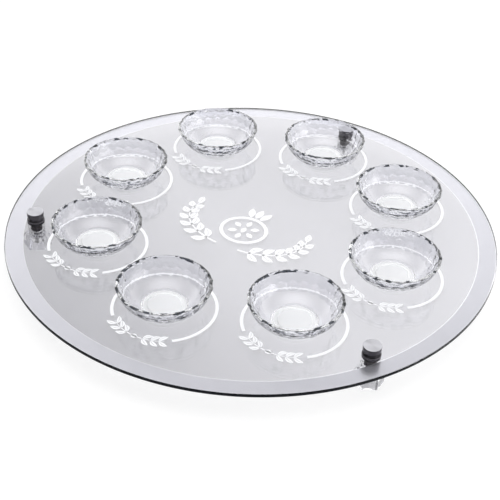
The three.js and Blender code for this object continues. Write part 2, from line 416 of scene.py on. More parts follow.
def ground_crystal():
    """The bowl's wheel-ground foot: satin glass with grains of about 0.5 mm, drawn that
    coarse so that they show."""
    material, tree, place = new_material("crystal_wheel_ground")
    _, normal = uneven(tree, place, 0.5, 0.05, detail=2.0, strength=0.3)
    glass = add_node(
        tree, "ShaderNodeBsdfPrincipled",
        values={
            "Base Color": linear("#FFFFFF"), "Transmission Weight": 0.3,
            "Roughness": 0.35, "IOR": GLASS_INDEX,
        },
        links={"Normal": normal},
    )
    set_surface(tree, let_light_through(tree, glass, CRYSTAL_PASSES))
    return material


# Painted dark reflections: on the facets they show only from outside, on the rim from both sides.
facet_painted_sparks = ("#20242C", 0.42, True)
rim_painted_sparks = ("#05080F", 0.45, False)
bowl_crystal = crystal("crystal_fire_polished", "#FCFCFE", 5.0, 0.02, clear_above=0.57)
# The facet rows' grey tints are painted shade, with the upper row the greyer, so that the rows show
# apart on the far wall.
low_facet_crystal = crystal(
    "crystal_pressed_low_facets", "#F0F0F5", 2.4, 0.3, clear_above=0.62, painted_sparks=facet_painted_sparks
)
high_facet_crystal = crystal(
    "crystal_pressed_high_facets", "#E7E8ED", 2.4, 0.4, clear_above=0.5, painted_sparks=facet_painted_sparks
)
rim_crystal = crystal("crystal_rim", "#FCFCFE", 2.0, 0.4, clear_above=0.48, painted_sparks=rim_painted_sparks)
foot_crystal = crystal("crystal_cut_and_polished", "#FFFFFF", 6.0, 0.01, clear_above=0.3)
ground_foot = ground_crystal()
print("made", bowl_crystal.name, foot_crystal.name, ground_foot.name)

# %% [markdown]
# **Screen print.** Under the glass lies silver ink with fine metal flakes. On the field it is
# so thin that it only greys what lies below, feet and floor. On the margin it is nearly
# opaque and reflects the room softly, like satin silver. The rings and ornaments on top of
# the glass are white ceramic ink, matt and solid.

# %% Print inks
def silver_ink(name, cover, colour):
    """Flake ink. cover is the share of light that one face of the film stops. Flakes are
    far finer than a pixel, so their clouding is drawn at 9 mm."""
    material, tree, place = new_material(name)
    cloud = add_node(
        tree, "ShaderNodeTexNoise", values={"Scale": 1 / (9 * MM), "Detail": 3.0},
        links={"Vector": place},
    )
    shade = add_node(
        tree, "ShaderNodeMapRange", values={"To Min": 0.96, "To Max": 1.04},
        links={"Value": cloud.outputs[0]},
    )
    silver = add_node(
        tree, "ShaderNodeMix", {"data_type": "RGBA", "blend_type": "MULTIPLY"},
        values={0: 1.0, 6: linear(colour)}, links={7: shade.outputs[0]},
    )
    ink = add_node(
        tree, "ShaderNodeBsdfPrincipled",
        values={"Metallic": 0.9, "Roughness": 0.28, "Alpha": cover},
        links={"Base Color": silver.outputs[2]},
    )
    set_surface(tree, ink)
    return material


def white_ink():
    """Ceramic white with a faint mottle of 3 mm from the mesh of the screen."""
    material, tree, place = new_material("ceramic_ink_white")
    mottle = add_node(
        tree, "ShaderNodeTexNoise", values={"Scale": 1 / (3 * MM)}, links={"Vector": place},
    )
    tone = add_node(
        tree, "ShaderNodeMix", {"data_type": "RGBA"},
        values={6: linear("#F7F7FA"), 7: linear("#FCFCFE")}, links={0: mottle.outputs[0]},
    )
    ink = add_node(
        tree, "ShaderNodeBsdfPrincipled", values={"Roughness": 0.6},
        links={"Base Color": tone.outputs[2]},
    )
    set_surface(tree, ink)
    return material


field_ink = silver_ink("flake_ink_silver_field", cover=0.25, colour="#6C6A78")
margin_ink = silver_ink("flake_ink_silver_margin", cover=0.96, colour="#E4E4E7")
ornament_ink = white_ink()
print("made", field_ink.name, margin_ink.name, ornament_ink.name)

# %% [markdown]
# ** Metal, rubber and plastic** in the stand-offs. The cap is stainless steel, turned on a
# lathe. Its side is polished, and its colour is painted dark: painted shade for the dark room
# that it mirrors. Its top is brushed light, with scratches round the axis that draw a highlight
# out into a streak. The shader's anisotropy does that, along the piece's own UV map, whose first
# axis runs round. Stud, collar and insert are plain turned steel, darker still.

# %% Steel
def steel(name, colour, roughness, stretch, ring_mm):
    """Steel whose turning marks are ring_mm apart, seen as faint changes in roughness.
    stretch, from 0 to 1, is how far the marks draw a highlight out round the axis."""
    material, tree, place = new_material(name)
    flat = add_node(tree, "ShaderNodeUVMap", {"uv_map": "turned"})
    marks = add_node(
        tree, "ShaderNodeMapping", values={"Scale": (3.0, 1 / ring_mm, 1.0)},
        links={"Vector": flat.outputs[0]},
    )
    rings = add_node(
        tree, "ShaderNodeTexNoise", values={"Scale": 1.0, "Detail": 3.0},
        links={"Vector": marks.outputs[0]},
    )
    rough = add_node(
        tree, "ShaderNodeMapRange",
        values={"To Min": roughness - 0.08, "To Max": roughness + 0.08},
        links={"Value": rings.outputs[0]},
    )
    shade = add_node(
        tree, "ShaderNodeMapRange", values={"To Min": 0.86, "To Max": 1.08},
        links={"Value": rings.outputs[0]},
    )
    tone = add_node(
        tree, "ShaderNodeMix", {"data_type": "RGBA", "blend_type": "MULTIPLY"},
        values={0: 1.0, 6: linear(colour)}, links={7: shade.outputs[0]},
    )
    round_axis = add_node(
        tree, "ShaderNodeTangent", {"direction_type": "UV_MAP", "uv_map": "turned"}
    )
    metal = add_node(
        tree, "ShaderNodeBsdfPrincipled",
        values={"Metallic": 1.0, "Anisotropic": stretch},
        links={
            "Base Color": tone.outputs[2], "Roughness": rough.outputs[0],
            "Tangent": round_axis.outputs[0],
        },
    )
    set_surface(tree, metal)
    return material


brushed_steel = steel("stainless_steel_brushed", "#D2D2D7", 0.5, stretch=0.85, ring_mm=0.35)
# The cap's side steel is painted dark, as painted shade for the room it mirrors.
side_steel_painted_dark = steel("stainless_steel_side_painted_dark", "#5E5C60", 0.22, stretch=0.3, ring_mm=0.5)
turned_steel = steel("steel_turned", "#3E3B3A", 0.28, stretch=0.3, ring_mm=0.5)
print("made", brushed_steel.name, side_steel_painted_dark.name, turned_steel.name)

# %% [markdown]
# The washer under the cap is black rubber, cut from sheet: matt, with a fine grain. The
# sleeve in the drilled hole is dark nylon, a little shinier. The pad under the foot is clear
# silicone, a cloudy see-through rubber.

# %% Rubber, nylon and silicone
def grained(name, dark, light, roughness, grain_mm, height_mm, glassy=0.0):
    """A plain material whose tone and surface follow one noise of the given grain."""
    material, tree, place = new_material(name)
    grain, normal = uneven(tree, place, grain_mm, height_mm, detail=2.0, strength=0.6)
    tone = add_node(
        tree, "ShaderNodeMix", {"data_type": "RGBA"},
        values={6: linear(dark), 7: linear(light)}, links={0: grain},
    )
    body = add_node(
        tree, "ShaderNodeBsdfPrincipled",
        values={"Roughness": roughness, "Transmission Weight": glassy, "IOR": 1.45},
        links={"Base Color": tone.outputs[2], "Normal": normal},
    )
    set_surface(tree, let_light_through(tree, body, "#E8EAEB") if glassy else body)
    return material


black_rubber = grained("rubber_black_sheet", "#1E1D20", "#333136", 0.75, 0.6, 0.05)
dark_nylon = grained("nylon_dark_turned", "#2B292C", "#4A474B", 0.5, 0.8, 0.04)
clear_silicone = grained("silicone_clear", "#E6EAEB", "#F6F8F8", 0.25, 1.5, 0.03, glassy=0.85)
print("made", black_rubber.name, dark_nylon.name, clear_silicone.name)

# %% [markdown]
# ## The glass plate
#
# The plate is a disc with three drilled holes, so it isn't simply turned. The disc is cut in
# three wedges, one round each hole. In a wedge, straight lines run from the hole's rim to
# the wedge's outline, and that is again a grid. The polished edge is turned as one band.

# %% A disc with three holes
plate_columns = 360  # one each degree, so that they meet the wedges' points


def wedge_outline(radius, angle):
    """Points anticlockwise round a third of a disc, whose middle is at the angle: one each
    degree of the arc, then along one straight side to the centre and back along the other."""
    arc = angle + np.radians(np.arange(-60, 61))
    inward = np.array([0.75, 0.5, 0.25, 0.0])
    outward = np.array([0.25, 0.5, 0.75])
    turn = np.concatenate([arc, np.full(len(inward), arc[-1]), np.full(len(outward), arc[0])])
    share = np.concatenate([np.ones(len(arc)), inward, outward])
    return radius * share[:, None] * np.stack([np.cos(turn), np.sin(turn)], axis=-1)


def holed_disc(edge, hole_radius):
    """Points and faces of a disc with a hole at each stand-off. edge is the outline of its
    rim, from the lower face to the upper one, as (radius, height)."""
    edge = np.asarray(edge, float)
    points, faces = lathe(edge, plate_columns, (0, 0))
    low, high = edge[0, 1], edge[-1, 1]
    for centre, angle in zip(standoff_centres, standoff_angles):
        outer_low = wedge_outline(edge[0, 0], angle)
        outer_high = wedge_outline(edge[-1, 0], angle)
        away = outer_low - centre
        hole = centre + hole_radius * away / np.linalg.norm(away, axis=1, keepdims=True)
        rings = [(outer_high, high), (hole, high), (hole, low), (outer_low, low)]
        wedge = np.vstack([np.column_stack([ring, np.full(len(ring), z)]) for ring, z in rings])
        faces += (ring_quads(4, len(hole)) + len(points)).tolist()
        points = np.vstack([points, wedge])
    return points, faces


def merge_seams(piece, distance_mm=0.002):
    """Joins the points that neighbouring grids share, so that the shape is closed."""
    work = bmesh.new()
    work.from_mesh(piece.data)
    bmesh.ops.remove_doubles(work, verts=work.verts, dist=distance_mm * MM)
    work.to_mesh(piece.data)
    work.free()
    return len(piece.data.vertices)


def face_middles(piece):
    """The middle of each face, in mm."""
    middles = np.empty(3 * len(piece.data.polygons), np.float32)
    piece.data.polygons.foreach_get("center", middles)
    return middles.reshape(-1, 3) / MM


print("a wedge outline has", len(wedge_outline(200, 0)), "points")

# %% The plate with its polished, arrised edge
arris, edge_band = 0.5, 2.0
hole_radius = 3.7
plate_edge = soften(
    [
        [plate_radius - edge_band, plate_bottom],
        [plate_radius - arris, plate_bottom],
        [plate_radius, plate_bottom + arris],
        [plate_radius, plate_top - arris],
        [plate_radius - arris, plate_top],
        [plate_radius - edge_band, plate_top],
    ],
    0.12,
)
points, faces = holed_disc(plate_edge, hole_radius)
plate = add_piece(
    "plate_glass", points, faces, [plate_glass, edge_glass_painted_dark], "root", ["glass_plate"],
    "clear_glass",
)
print("plate:", merge_seams(plate), "points")
middles = face_middles(plate)
from_rim = plate_radius - np.hypot(middles[:, 0], middles[:, 1])
# The upright edge and the lower arris take the edge glass with its painted dark shade.
upright = from_rim < 0.08
lower_arris = (from_rim < arris + 0.2) & (middles[:, 2] < plate_bottom + arris)
plate.data.polygons.foreach_set("material_index", (upright | lower_arris).astype(np.int32))
plate.data.set_sharp_from_angle(angle=CRISP)

# %% [markdown]
# ## The print
#
# Inks are only hundredths of a millimetre thick. Here they are thin closed films, the silver
# ones just under the glass and the white ones just above it. Between field and margin the
# printer left a hairline clear, and another at the plate's edge, and round each foot's collar
# a small clear window.

# %% The silver field and margin
white_low, white_high = plate_top + 0.01, plate_top + 0.05
silver_low, silver_high = plate_bottom - 0.10, plate_bottom - 0.03
field_radius = 185.0
margin_radii = (185.5, 198.9)
collar_clearance = 5.4

points, faces = holed_disc(
    [[field_radius, silver_low], [field_radius, silver_high]], collar_clearance
)
field = add_piece("print_silver_field", points, faces, [field_ink], "root", [])
print("field:", merge_seams(field), "points")
field.data.set_sharp_from_angle(angle=CRISP)


def add_film(name, points, faces, ink):
    """A closed film of ink with crisp corners."""
    film = add_piece(name, points, faces, [ink], "root", [])
    film.data.set_sharp_from_angle(angle=CRISP)
    print(name, "has", len(points), "points")


inner, outer = margin_radii
band = [[inner, silver_low], [outer, silver_low], [outer, silver_high], [inner, silver_high]]
add_film("print_silver_margin", *lathe(band, plate_columns, (0, 0), loop=True), margin_ink)

# %% [markdown]
# The white shapes are flat patches: a ring is a strip along a circle, a leaf is a strip
# whose width swells and fades. Each patch is a grid too, doubled into an upper and a lower
# face with a wall round it.

# %% Flat patches with a thin wall
def patch_slab(patches):
    """Points and faces of flat patches of white ink, given as an array (patch, along, across,
    xy) with across to the left of along."""
    count, along, across = patches.shape[:3]
    size = along * across
    flat = patches.reshape(-1, 2)
    upper = np.column_stack([flat, np.full(len(flat), white_high)])
    lower = np.column_stack([flat, np.full(len(flat), white_low)])
    index = np.arange(size).reshape(along, across)
    quads = np.stack(
        [index[:-1, :-1], index[1:, :-1], index[1:, 1:], index[:-1, 1:]], axis=-1
    ).reshape(-1, 4)
    rim = np.concatenate([index[:-1, 0], index[-1, :-1], index[:0:-1, -1], index[0, :0:-1]])
    beyond = np.roll(rim, -1)
    start = (np.arange(count) * size)[:, None, None]
    top = (quads[None] + start).reshape(-1, 4)
    bottom = top[:, ::-1] + len(flat)
    wall = np.stack([rim + len(flat), beyond + len(flat), beyond, rim], axis=-1)
    wall = (wall[None] + start).reshape(-1, 4)
    return np.vstack([upper, lower]), np.vstack([top, bottom, wall]).tolist()


def strips(paths, widths, across=3):
    """A strip along each path: the path's points moved sideways, along its left normal, by
    shares of the width there. paths is (strip, along, xy) and widths (strip, along)."""
    ahead = np.gradient(paths, axis=1)
    ahead = ahead / np.linalg.norm(ahead, axis=-1, keepdims=True)
    left = np.stack([-ahead[..., 1], ahead[..., 0]], axis=-1)
    side = np.linspace(-0.5, 0.5, across)
    shift = left[:, :, None, :] * (widths[..., None] * side)[..., None]
    return paths[:, :, None, :] + shift


def join_meshes(parts):
    """One list of points and faces from several."""
    points, faces = [], []
    for part_points, part_faces in parts:
        start = sum(len(p) for p in points)
        faces += [[start + corner for corner in face] for face in part_faces]
        points.append(part_points)
    return np.vstack(points), faces


test_strip = strips(np.eye(2)[None], np.ones((1, 2)))
print("a strip of two points has", len(patch_slab(test_strip)[1]), "faces with its wall")

# %% The broken ring round each bowl
ring_radius, ring_width = 38.9, 2.5
ring_turn = np.radians(np.linspace(-48, 228, 139))
circle = ring_radius * np.stack([np.cos(ring_turn), np.sin(ring_turn)], axis=-1)
ring_paths = bowl_centres[:, None, :] + circle[None]
rings = strips(ring_paths, np.full(ring_paths.shape[:2], ring_width), across=2)
add_film("print_white_rings", *patch_slab(rings), ornament_ink)

# %% [markdown]
# In the gap of each ring lies a sprig of leaves, a common ornament for the new year's
# fruits. A leaf is a strip along a slightly bent line. Its width is sin(pi u)^0.8 of the
# leaf's, pointed at both ends, and a hairline is left open along its middle rib.

# %% Leaves
def leaves(roots, turns, lengths, widths, bend=0.12, rib=0.35):
    """Half leaves on both sides of a rib. Along the leaf, u goes from 0 to 1: the middle
    line is u * length ahead and bend * length * sin(pi u) aside."""
    u = np.linspace(0, 1, 13)
    lengths = np.broadcast_to(lengths, len(roots))
    widths = np.broadcast_to(widths, len(roots))
    ahead = np.stack([np.cos(turns), np.sin(turns)], axis=-1)[:, None, :]
    left = np.stack([-np.sin(turns), np.cos(turns)], axis=-1)[:, None, :]
    line = roots[:, None, :] + ahead * (lengths[:, None] * u)[..., None]
    line = line + left * (bend * lengths[:, None] * np.sin(math.pi * u))[..., None]
    half = 0.5 * widths[:, None] * np.sin(math.pi * u) ** 0.8
    open_rib = 0.5 * rib * np.sin(math.pi * u)
    near = np.minimum(open_rib, 0.45 * half)[..., None]
    far = np.maximum(half, 0.04)[..., None]
    shifts = [left * near, left * (near + far) / 2, left * far]
    upper = np.stack([line + shift for shift in shifts], axis=2)
    lower = np.stack([line - shift for shift in reversed(shifts)], axis=2)
    return np.concatenate([upper, lower])


def dots(centres, radii):
    """Round dots: a square grid bent onto a disc, x = r u sqrt(1 - v^2 / 2) and the same
    for y with u and v exchanged."""
    u = np.linspace(-1, 1, 7)[:, None]
    v = np.linspace(-1, 1, 7)[None, :]
    x = u * np.sqrt(1 - v**2 / 2)
    y = v * np.sqrt(1 - u**2 / 2)
    disc = np.stack([x, y], axis=-1)[None]
    radii = np.broadcast_to(radii, len(centres))
    return centres[:, None, None, :] + disc * radii[:, None, None, None]


print("one leaf has", leaves(np.zeros((1, 2)), np.zeros(1), 9.0, 4.0).shape[1], "rows")

# %% The sprig in each ring's gap
stem_turn = np.radians(np.linspace(-124, -56, 35))
stem_line = ring_radius * np.stack([np.cos(stem_turn), np.sin(stem_turn)], axis=-1)
stem_width = 0.9 * np.sin(np.linspace(0.25, math.pi - 0.25, 35))
leaf_turn = np.radians(np.array([-118, -109, -100, -80, -71, -62]))
outwards = np.sign(leaf_turn + math.pi / 2)
leaf_roots = ring_radius * np.stack([np.cos(leaf_turn), np.sin(leaf_turn)], axis=-1)
along_stem = leaf_turn + math.pi / 2 * outwards
berries = ring_radius * np.array([[0.0, -1.0]])

leaf_length, leaf_width, berry_radius = 8.4, 3.6, 2.2
parts = []
for centre in bowl_centres:
    parts.append(patch_slab(strips((centre + stem_line)[None], stem_width[None])))
    for side in (-1, 1):
        heading = along_stem + side * np.radians(38)
        sprig = leaves(centre + leaf_roots, heading, leaf_length, leaf_width, bend=0.1 * side)
        parts.append(patch_slab(sprig))
    parts.append(patch_slab(dots(centre + berries, berry_radius)))
add_film("print_white_sprigs", *join_meshes(parts), ornament_ink)

# %% [markdown]
# In the middle stands a pomegranate between two branches. The fruit is a ring with a crown
# of three sepals on top and seeds inside, and the branches bend up round it.

# %% The ornament in the middle
fruit_wide, fruit_high, fruit_skin, fruit_middle = 15.5, 14.2, 2.6, [0, -3]
fruit_turn = np.linspace(0, 2 * math.pi, 73)
fruit_line = np.stack([fruit_wide * np.cos(fruit_turn), fruit_high * np.sin(fruit_turn)], axis=-1)
fruit_line = fruit_line + fruit_middle
fruit = strips(fruit_line[None], np.full((1, len(fruit_turn)), fruit_skin), across=2)
crown = leaves(
    np.array([[-3.4, 12.4], [0.0, 13.0], [3.4, 12.4]]), np.radians([112, 90, 68]), 11.0, 5.0,
    bend=0.0, rib=0.0,
)
seed_turn = np.radians(np.arange(0, 360, 60) + 30)
seed_ring = 4.4 * np.stack([np.cos(seed_turn), np.sin(seed_turn)], axis=-1) + fruit_middle
seed_roots = np.vstack([[[0, -6.4]], seed_ring])
seed_turns = np.concatenate([[math.pi / 2], seed_turn])
seeds = leaves(seed_roots, seed_turns, 6.4, 3.8, bend=0.0, rib=0.0)

branch_u = np.linspace(0, 1, 41)
branch_turn = np.radians(-84 + 96 * branch_u)
branch_right = np.stack(
    [4 + 33 * np.cos(branch_turn) * 1.18, 2 + 27 * np.sin(branch_turn)], axis=-1
)
branch_left = branch_right * [-1, 1]
branch_width = np.broadcast_to(1.5 - 0.9 * branch_u, (2, len(branch_u)))
branches = strips(np.stack([branch_right, branch_left]), branch_width)

leaf_at = np.arange(5, 40, 6)
parts = [patch_slab(patches) for patches in (fruit, crown, seeds, branches)]
for line in (branch_right, branch_left):
    ahead = np.gradient(line, axis=0)[leaf_at]
    heading = np.arctan2(ahead[:, 1], ahead[:, 0])
    lengths = np.linspace(11.0, 7.5, len(leaf_at))
    for side in (-1, 1):
        turned_out = heading + side * np.radians(42)
        parts.append(patch_slab(leaves(line[leaf_at], turned_out, lengths, 5.0, bend=0.1 * side)))
    parts.append(patch_slab(leaves(line[-1:], heading[-1:] + 0.2, 9.0, 4.6, bend=0.0)))
points, faces = join_meshes(parts)
enlarged, moved = 1.22, [-2.0, -6.0]
points[:, :2] = enlarged * points[:, :2] + moved
add_film("print_white_centre", points, faces, ornament_ink)
low, high = points.min(axis=0), points.max(axis=0)
print(f"middle ornament: {high[0] - low[0]:.0f} by {high[1] - low[1]:.0f} mm")

# %% [markdown]
# ## The bowls
#
# A bowl's wall follows one circular arc from its foot to its rim. Two staggered rows of 22
# facets are cut into it. All edges between facets can be worked out: where two planes meet,
# or where a plane meets the arc. So the grid's rows are laid exactly along these edges, and
# its columns along the ridges. Between its edges each facet is then hollowed by a hair, as
# pressed facets are, which bends the light in it and makes it glint.

# %% The bowl's arc and its facet planes
foot_radius, foot_height, wall_slope = 17.0, 1.0, math.radians(18)
rim_radius, wall, floor_height = 36.5, 3.0, 4.0
chord_x, chord_z = rim_radius - foot_radius, bowl_height - foot_height
arc_radius = (chord_x**2 + chord_z**2) / (
    2 * (chord_z * math.cos(wall_slope) - chord_x * math.sin(wall_slope))
)
arc_x = foot_radius - arc_radius * math.sin(wall_slope)
arc_z = foot_height + arc_radius * math.cos(wall_slope)


def facet_plane(height, depth):
    """A plane that touches the arc at the height and is pressed in by the depth, as
    (a, b, c) of a * distance out + b * height = c."""
    tilt = math.asin((height - arc_z) / arc_radius)
    a, b = math.cos(tilt), math.sin(tilt)
    return a, b, a * arc_x + b * arc_z + arc_radius - depth


upper_plane = facet_plane(height=17.2, depth=0.8)
lower_plane = facet_plane(height=10.6, depth=0.45)
print(f"arc of {arc_radius:.1f} mm radius about ({arc_x:.2f}, {arc_z:.2f}) mm")

# %% Rows of the bowl's outer wall
facets = 22
steps_per_half = 5
bowl_columns = 2 * facets * steps_per_half
pitch = 2 * math.pi / facets
bowl_turn = 2 * math.pi * np.arange(bowl_columns) / bowl_columns
upper_off = np.abs((bowl_turn + pitch / 2) % pitch - pitch / 2)
lower_off = np.abs(bowl_turn % pitch - pitch / 2)


def plane_radius(plane, off, height):
    """How far out a facet plane is at a height, seen off its middle by an angle."""
    a, b, c = plane
    return (c - b * height) / (a * np.cos(off))


def hollow(off, depth):
    """How much deeper a hollow-ground facet is than its plane: depth at its middle, and
    nothing at its ridges: depth * (1 - (off / half pitch)^2)."""
    return depth * (1 - (2 * off / pitch) ** 2)


def arc_radius_at(height, inset=0.0):
    """How far out the wall's arc is at a height, or an arc that is smaller by inset."""
    return arc_x + np.sqrt((arc_radius - inset) ** 2 - (height - arc_z) ** 2)


a, b, c = lower_plane
slant = a * np.cos(lower_off)
size = np.hypot(slant, b)
inward = (c - slant * arc_x - b * arc_z) / size
half_chord = np.sqrt(arc_radius**2 - inward**2)
scallop_z = arc_z + inward * b / size - half_chord * slant / size

a1, b1, c1 = upper_plane[0] * np.cos(upper_off), upper_plane[1], upper_plane[2]
a2, b2, c2 = slant, b, c
zigzag_z = (c1 / a1 - c2 / a2) / (b1 / a1 - b2 / a2)
print(f"scallop line {scallop_z.min():.2f} to {scallop_z.max():.2f} mm high")
print(f"line between the rows {zigzag_z.min():.2f} to {zigzag_z.max():.2f} mm high")

# %% The whole bowl as one grid of rows
def blend_rows(start, end, steps, first=0):
    """Rows that go straight from one row of (radius, height) to another."""
    share = (np.arange(first, steps + 1) / steps)[:, None, None]
    return (1 - share) * start[None] + share * end[None]


def dished(rows, off, depth, end_phase):
    """Takes a hollow off rows of a facet. Its depth follows a sine from the facet's lower
    edge, at phase 0, to its upper edge, at the end phase."""
    share = (np.arange(1, len(rows) + 1) / len(rows))[:, None]
    rows[..., 0] -= hollow(off, depth)[None] * np.sin(end_phase * share)
    return rows


def bend_rows(start, corner, end, steps):
    """Rows along a parabola that leaves start towards corner and reaches end from it."""
    t = (np.arange(1, steps) / steps)[:, None, None]
    return (1 - t) ** 2 * start + 2 * t * (1 - t) * corner + t**2 * end


def row(radius, height):
    """One row: a radius and a height for each column."""
    full = np.ones(bowl_columns)
    return np.stack([radius * full, height * full], axis=-1)


foot_gap = 0.05
recess_radius, recess_depth = 13.0, 0.8
rim_soft, mouth_soft, floor_soft = 1.2, 1.1, 1.2
plain_share = (np.arange(9) / 8)[:, None]
plain_z = foot_height + plain_share * (scallop_z - foot_height)
plain_wall = np.stack([arc_radius_at(plain_z), plain_z], axis=-1)
scallop_row = plain_wall[-1]
zigzag_row = np.stack([plane_radius(lower_plane, lower_off, zigzag_z), zigzag_z], axis=-1)
lower_steps, upper_steps, cavity_steps = 6, 8, 18
upper_hollow, lower_hollow = 0.15, 0.12
rim_start = bowl_height - rim_soft
flat_below_rim = row(plane_radius(upper_plane, upper_off, rim_start), rim_start)
rim_dip = hollow(upper_off, upper_hollow)
below_rim = row(plane_radius(upper_plane, upper_off, rim_start) - rim_dip, rim_start)
rim_corner = row(plane_radius(upper_plane, upper_off, bowl_height) - rim_dip, bowl_height)
rim_outside = rim_corner - [rim_soft, 0]
mouth_radius = arc_radius_at(bowl_height, wall)
rim_inside = row(mouth_radius + mouth_soft, bowl_height)
mouth_corner = row(mouth_radius, bowl_height)
mouth_row = row(arc_radius_at(bowl_height - mouth_soft, wall), bowl_height - mouth_soft)
cavity_top = math.asin((bowl_height - mouth_soft - arc_z) / (arc_radius - wall))
cavity_low = math.asin((floor_height + floor_soft * 0.6 - arc_z) / (arc_radius - wall))
cavity_share = (np.arange(1, cavity_steps + 1) / cavity_steps)[:, None]
cavity_turn = cavity_top + (cavity_low - cavity_top) * cavity_share
cavity_wall = np.stack(
    [
        arc_x + (arc_radius - wall) * np.cos(cavity_turn) * np.ones(bowl_columns),
        arc_z + (arc_radius - wall) * np.sin(cavity_turn) * np.ones(bowl_columns),
    ],
    axis=-1,
)
floor_corner = row(arc_radius_at(floor_height, wall), floor_height)
floor_edge = row(arc_radius_at(floor_height, wall) - floor_soft, floor_height)
print("cavity floor", round(float(floor_corner[0, 0]), 2), "mm in radius")

# %% Rows put together from the foot up, over the rim and down to the floor
foot_rows = np.stack(
    [
        row(recess_radius - 0.6, foot_gap + recess_depth),
        row(recess_radius - 0.3, foot_gap + recess_depth - 0.1),
        row(recess_radius, foot_gap + 0.2),
        row(recess_radius + 0.2, foot_gap),
        row(foot_radius - 0.4, foot_gap),
        row(foot_radius - 0.1, foot_gap + 0.1),
        row(foot_radius, foot_gap + 0.4),
    ]
)
lower_rows = blend_rows(scallop_row, zigzag_row, lower_steps, first=1)
upper_rows = blend_rows(zigzag_row, flat_below_rim, upper_steps, first=1)
outer_rows = [
    foot_rows,
    plain_wall,
    dished(lower_rows, lower_off, lower_hollow, math.pi),
    dished(upper_rows, upper_off, upper_hollow, math.pi / 2),
]
rim_rows = [
    bend_rows(below_rim, rim_corner, rim_outside, 5),
    rim_outside[None],
    rim_inside[None],
    bend_rows(rim_inside, mouth_corner, mouth_row, 4),
    mouth_row[None],
]
inner_rows = [
    cavity_wall,
    bend_rows(cavity_wall[-1], floor_corner, floor_edge, 5),
    floor_edge[None],
]
bowl_rows = np.concatenate(outer_rows + rim_rows + inner_rows)
ground_index = len(foot_rows) - 3  # the row at the ground ring's outer edge
scallop_index = len(foot_rows) + len(plain_wall) - 1
zigzag_index = scallop_index + lower_steps
rim_index = zigzag_index + upper_steps
mouth_index = rim_index + sum(len(rows) for rows in rim_rows)
print("bowl grid:", bowl_rows.shape[0], "rows by", bowl_columns, "columns")

# %% [markdown]
# The facets' edges must stay crisp while the rest is shaded smooth. Since every such edge
# runs along a known row or column of the grid, it is found by its two ends' place in the
# grid, all edges at once.

# %% Crisp edges of the facets
def crisp_facets(mesh):
    """Marks as sharp the scallop line, the zigzag line, and the ridges between facets."""
    ends = np.empty(2 * len(mesh.edges), np.int32)
    mesh.edges.foreach_get("vertices", ends)
    ends = ends.reshape(-1, 2)
    grid_row, grid_column = ends // bowl_columns, ends % bowl_columns
    in_row = grid_row[:, 0] == grid_row[:, 1]
    level, top_level = grid_row.min(axis=1), grid_row.max(axis=1)
    lines = in_row & np.isin(level, [scallop_index, zigzag_index])
    same_column = grid_column[:, 0] == grid_column[:, 1]
    whole_pitch = grid_column[:, 0] % (2 * steps_per_half) == 0
    half_pitch = grid_column[:, 0] % (2 * steps_per_half) == steps_per_half
    lower_ridge = whole_pitch & (level >= scallop_index) & (top_level <= zigzag_index)
    upper_ridge = half_pitch & (level >= zigzag_index) & (top_level <= rim_index)
    sharp = lines | (same_column & (lower_ridge | upper_ridge))
    mark = mesh.attributes.new("sharp_edge", "BOOLEAN", "EDGE")
    mark.data.foreach_set("value", sharp)
    return int(sharp.sum())


def bowl_mesh(centre):
    """Points and faces of a bowl that stands on the plate at centre."""
    x = centre[0] + bowl_rows[..., 0] * np.cos(bowl_turn)
    y = centre[1] + bowl_rows[..., 0] * np.sin(bowl_turn)
    z = plate_top + bowl_rows[..., 1]
    points = np.stack([x, y, z], axis=-1).reshape(-1, 3)
    quads = ring_quads(len(bowl_rows), bowl_columns)
    last = len(points) - bowl_columns
    poles = [
        [centre[0], centre[1], plate_top + foot_gap + recess_depth],
        [centre[0], centre[1], plate_top + floor_height],
    ]
    lower = fan(len(points), 0, bowl_columns, upwards=False)
    upper = fan(len(points) + 1, last, bowl_columns, upwards=True)
    return np.vstack([points, poles]), quads, lower, upper


GROUND, LOW_FACETS, HIGH_FACETS, RIM = 1, 2, 3, 4
bowl_finishes = [bowl_crystal, ground_foot, low_facet_crystal, high_facet_crystal, rim_crystal]
for number, centre in enumerate(bowl_centres, start=1):
    points, quads, lower, upper = bowl_mesh(centre)
    faces = quads.tolist() + lower.tolist() + upper.tolist()
    body = f"bowl_{number}"
    piece = add_piece(
        f"crystal_bowl_{number}", points, faces, bowl_finishes, body, [body], "bowl_crystal"
    )
    marked = crisp_facets(piece.data)
    finish = np.zeros((len(bowl_rows) - 1, bowl_columns), np.int32)
    finish[:ground_index] = GROUND
    finish[scallop_index:zigzag_index] = LOW_FACETS
    finish[zigzag_index:rim_index] = HIGH_FACETS
    finish[rim_index:mouth_index] = RIM
    on_poles = np.repeat(np.int32([GROUND, 0]), [len(lower), len(upper)])
    piece.data.polygons.foreach_set("material_index", np.concatenate([finish.ravel(), on_poles]))
print("bowls:", number, "with", len(points), "points and", marked, "crisp edges each")

# %% [markdown]
# ## The stand-offs
#
# Each of the three stacks is the same, from the cap down to the pad. The cap's side has a
# lip, a waist and a flange. UV maps on the turned steel run round the axis first and along
# the outline second, for the brushing.

# %% A UV map for turned pieces
def length_along(outline, loop=False):
    """The length along an outline from its first point to each of its points, in mm."""
    if loop:
        outline = np.vstack([outline, outline[:1]])
    steps = np.linalg.norm(np.diff(outline, axis=0), axis=1)
    return np.concatenate([[0], np.cumsum(steps)])


